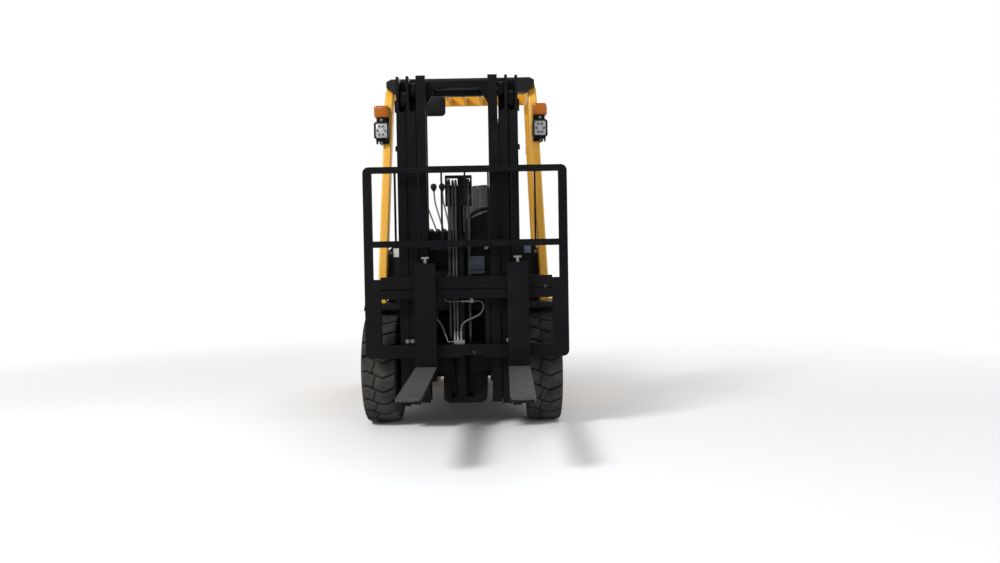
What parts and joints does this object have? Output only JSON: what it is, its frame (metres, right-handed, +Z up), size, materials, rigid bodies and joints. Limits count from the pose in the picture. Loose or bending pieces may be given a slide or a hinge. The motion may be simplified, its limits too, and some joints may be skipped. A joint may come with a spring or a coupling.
{
  "type": "counterbalance forklift truck",
  "caption": "Ride-on counterbalance forklift with a roller mast in telescoping stages, side-shifting forks, load backrest and overhead guard.",
  "frame": {"origin": "middle of the bounding box on the ground", "axes": "forks point to -Y, +X is the operator's left, +Z up"},
  "size_m": [1.2601, 3.78, 2.2797],
  "materials": {
    "yellow_paint": "gloss",
    "black_paint": "satin",
    "grey_cast": "matte",
    "yellow_cast": "gloss",
    "tyre_rubber": "matte",
    "rim_steel": "satin",
    "bare_steel": "brushed",
    "chrome_rod": "polished",
    "black_plastic": "matte",
    "seat_vinyl": "satin",
    "amber_lens": "gloss",
    "red_lens": "gloss",
    "hose_rubber": "satin",
    "chain_steel": "oiled",
    "fork_steel": "worn black paint"
  },
  "bodies": {
    "chassis": {"chassis_frame": "yellow_paint", "front_fenders": "black_paint", "floor_plate": "black_paint", "front_cowl": "black_plastic", "dash_panel": "black_plastic", "steering_column": "black_plastic", "control_levers": "black_plastic", "pedals": "hose_rubber", "drive_axle": "grey_cast", "steer_axle": "grey_cast", "counterweight": "yellow_cast", "radiator_grille": "black_paint", "tow_pin": "bare_steel", "engine_block": "grey_cast", "guard_front_pillars": "yellow_paint", "guard_rear_pillars": "yellow_paint", "guard_roof": "yellow_paint", "roof_cap": "black_plastic", "work_lamps": "black_plastic", "turn_signals": "amber_lens", "rear_lamps": "red_lens", "rear_view_mirror": "black_plastic"},
    "hood": {"engine_hood": "yellow_paint", "seat_base": "black_paint", "seat_cushion": "seat_vinyl", "seat_back": "seat_vinyl"},
    "steering_wheel": {"steering_wheel": "black_plastic"},
    "mast_outer": {"outer_mast": "black_paint", "lift_cylinder_barrels": "black_paint"},
    "mast_intermediate": {"intermediate_mast": "black_paint", "lift_cylinder_rods": "chrome_rod"},
    "mast_inner": {"inner_mast": "black_paint", "free_lift_barrel": "black_paint"},
    "lift_head": {"free_lift_head": "black_paint", "lift_chains": "chain_steel", "lift_hoses": "hose_rubber"},
    "carriage": {"lift_carriage": "black_paint", "carriage_hose": "hose_rubber"},
    "fork_frame": {"fork_carrier": "black_paint", "load_backrest": "black_paint", "fork_left": "fork_steel", "fork_right": "fork_steel"},
    "tilt_barrels": {"tilt_cylinder_barrels": "black_paint"},
    "tilt_rods": {"tilt_cylinder_rods": "chrome_rod"},
    "front_wheel_left": {"front_tyre_left": "tyre_rubber", "front_rim_left": "rim_steel"},
    "front_wheel_right": {"front_tyre_right": "tyre_rubber", "front_rim_right": "rim_steel"},
    "knuckle_left": {"steer_knuckle_left": "grey_cast"},
    "knuckle_right": {"steer_knuckle_right": "grey_cast"},
    "rear_wheel_left": {"rear_tyre_left": "tyre_rubber", "rear_rim_left": "rim_steel"},
    "rear_wheel_right": {"rear_tyre_right": "tyre_rubber", "rear_rim_right": "rim_steel"}
  },
  "joints": [
    {"name": "front_left_roll", "type": "hinge", "parent": "chassis", "child": "front_wheel_left", "pos_m": [0.505, -0.33, 0.355], "axis": [1, 0, 0], "continuous": true},
    {"name": "front_right_roll", "type": "hinge", "parent": "chassis", "child": "front_wheel_right", "pos_m": [-0.505, -0.33, 0.355], "axis": [1, 0, 0], "continuous": true},
    {"name": "steer_left", "type": "hinge", "parent": "chassis", "child": "knuckle_left", "pos_m": [0.38, 1.37, 0.295], "axis": [0, 0, 1], "range_deg": [-65, 65]},
    {"name": "steer_right", "type": "hinge", "parent": "chassis", "child": "knuckle_right", "pos_m": [-0.38, 1.37, 0.295], "axis": [0, 0, 1], "range_deg": [-65, 65]},
    {"name": "rear_left_roll", "type": "hinge", "parent": "knuckle_left", "child": "rear_wheel_left", "pos_m": [0.49, 1.37, 0.295], "axis": [1, 0, 0], "continuous": true},
    {"name": "rear_right_roll", "type": "hinge", "parent": "knuckle_right", "child": "rear_wheel_right", "pos_m": [-0.49, 1.37, 0.295], "axis": [1, 0, 0], "continuous": true},
    {"name": "steering_wheel_turn", "type": "hinge", "parent": "chassis", "child": "steering_wheel", "pos_m": [0.17, 0.19, 1.259], "axis": [0, 0.7071, 0.7071], "continuous": true},
    {"name": "hood_open", "type": "hinge", "parent": "chassis", "child": "hood", "pos_m": [0, 1.126, 1.014], "axis": [-1, 0, 0], "range_deg": [0, 55]},
    {"name": "mast_tilt", "type": "hinge", "parent": "chassis", "child": "mast_outer", "pos_m": [0, -0.33, 0.355], "axis": [1, 0, 0], "range_deg": [-6, 6]},
    {"name": "tilt_barrel_swing", "type": "hinge", "parent": "chassis", "child": "tilt_barrels", "pos_m": [0, -0.006, 0.56], "axis": [1, 0, 0], "range_deg": [-3, 3]},
    {"name": "tilt_rod_slide", "type": "slide", "parent": "tilt_barrels", "child": "tilt_rods", "axis": [0, -0.9547, 0.2977], "range_m": [-0.032, 0.032]},
    {"name": "mast_lift", "type": "slide", "parent": "mast_outer", "child": "mast_intermediate", "axis": [0, 0, 1], "range_m": [0, 1.45]},
    {"name": "inner_lift", "type": "slide", "parent": "mast_intermediate", "child": "mast_inner", "axis": [0, 0, 1], "range_m": [0, 1.45]},
    {"name": "carriage_lift", "type": "slide", "parent": "mast_inner", "child": "carriage", "axis": [0, 0, 1], "range_m": [-0.345, 1.1], "deforming": ["lift_chains", "lift_hoses"]},
    {"name": "head_lift", "type": "slide", "parent": "mast_inner", "child": "lift_head", "axis": [0, 0, 1], "range_m": [-0.1726, 0.551]},
    {"name": "side_shift", "type": "slide", "parent": "carriage", "child": "fork_frame", "axis": [1, 0, 0], "range_m": [-0.143, 0.057]}
  ],
  "couplings": [
    {"joint": "steer_right", "follows": "steer_left", "ratio": 1},
    {"joint": "tilt_barrel_swing", "follows": "mast_tilt", "ratio": 0.4721},
    {"joint": "tilt_rod_slide", "follows": "mast_tilt", "m_per_rad": 0.2922},
    {"joint": "inner_lift", "follows": "mast_lift", "ratio": 1},
    {"joint": "head_lift", "follows": "carriage_lift", "ratio": 0.5}
  ]
}
